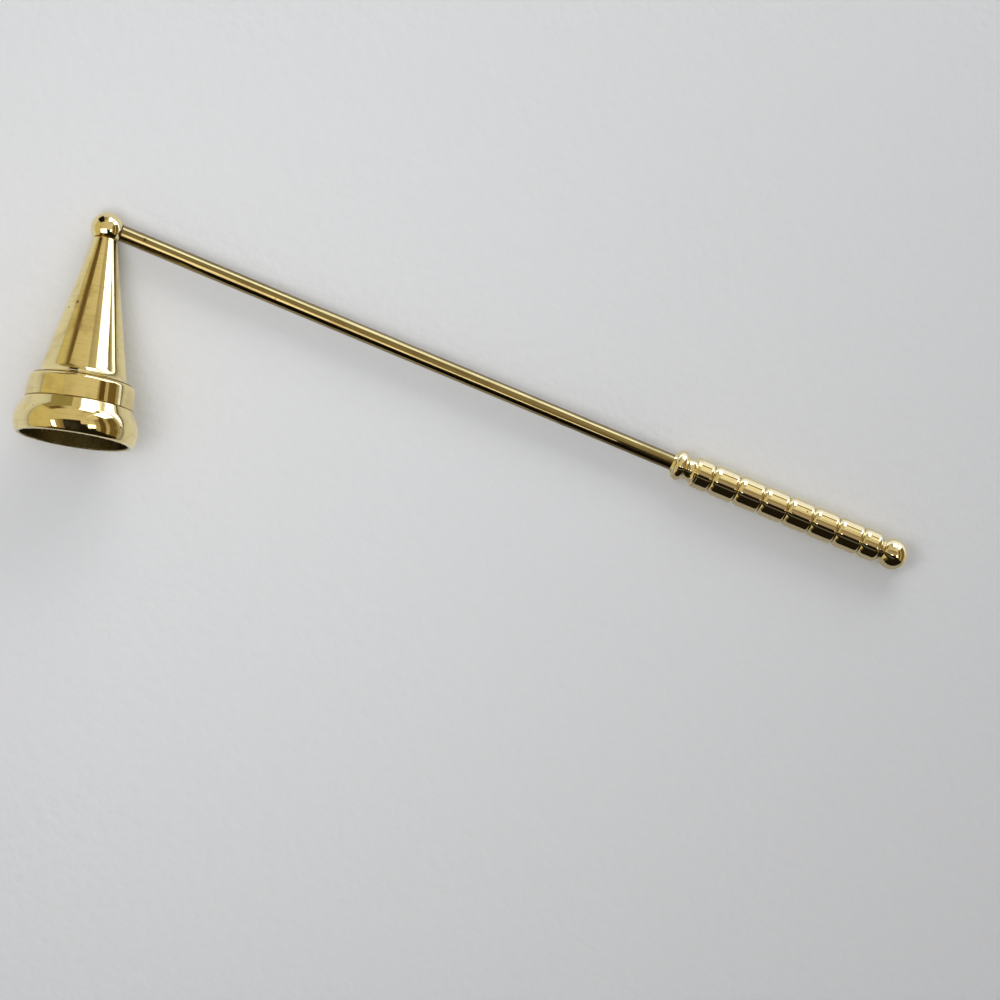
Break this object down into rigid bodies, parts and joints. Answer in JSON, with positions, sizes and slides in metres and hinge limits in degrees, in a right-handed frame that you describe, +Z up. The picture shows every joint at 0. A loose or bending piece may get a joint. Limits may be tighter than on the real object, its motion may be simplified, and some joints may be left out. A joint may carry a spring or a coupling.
{
  "type": "candle snuffer",
  "caption": "Candle snuffer: hollow cone bell with a stepped band and rounded foot, set at an angle on a ball knob, long round rod, ribbed grip and ball pommel.",
  "frame": {"origin": "on the table, under the middle of the snuffer's footprint as it lies on its side", "axes": "+X along the rod from the knob towards the pommel, -Y towards the bell's mouth, +Z up"},
  "size_m": [0.2708, 0.0726, 0.0371],
  "materials": {
    "bell_brass": "polished, with fine turning lines and light tarnish specks",
    "knob_brass": "mirror polished",
    "rod_brass": "drawn rod, polished, slightly darkened",
    "grip_brass": "mirror polished",
    "screw_brass": "as turned, dull"
  },
  "bodies": {
    "root": {"bell": "bell_brass", "bell_screw": "screw_brass", "knob": "knob_brass", "rod": "rod_brass", "grip": "grip_brass", "pommel": "grip_brass"}
  },
  "joints": []
}
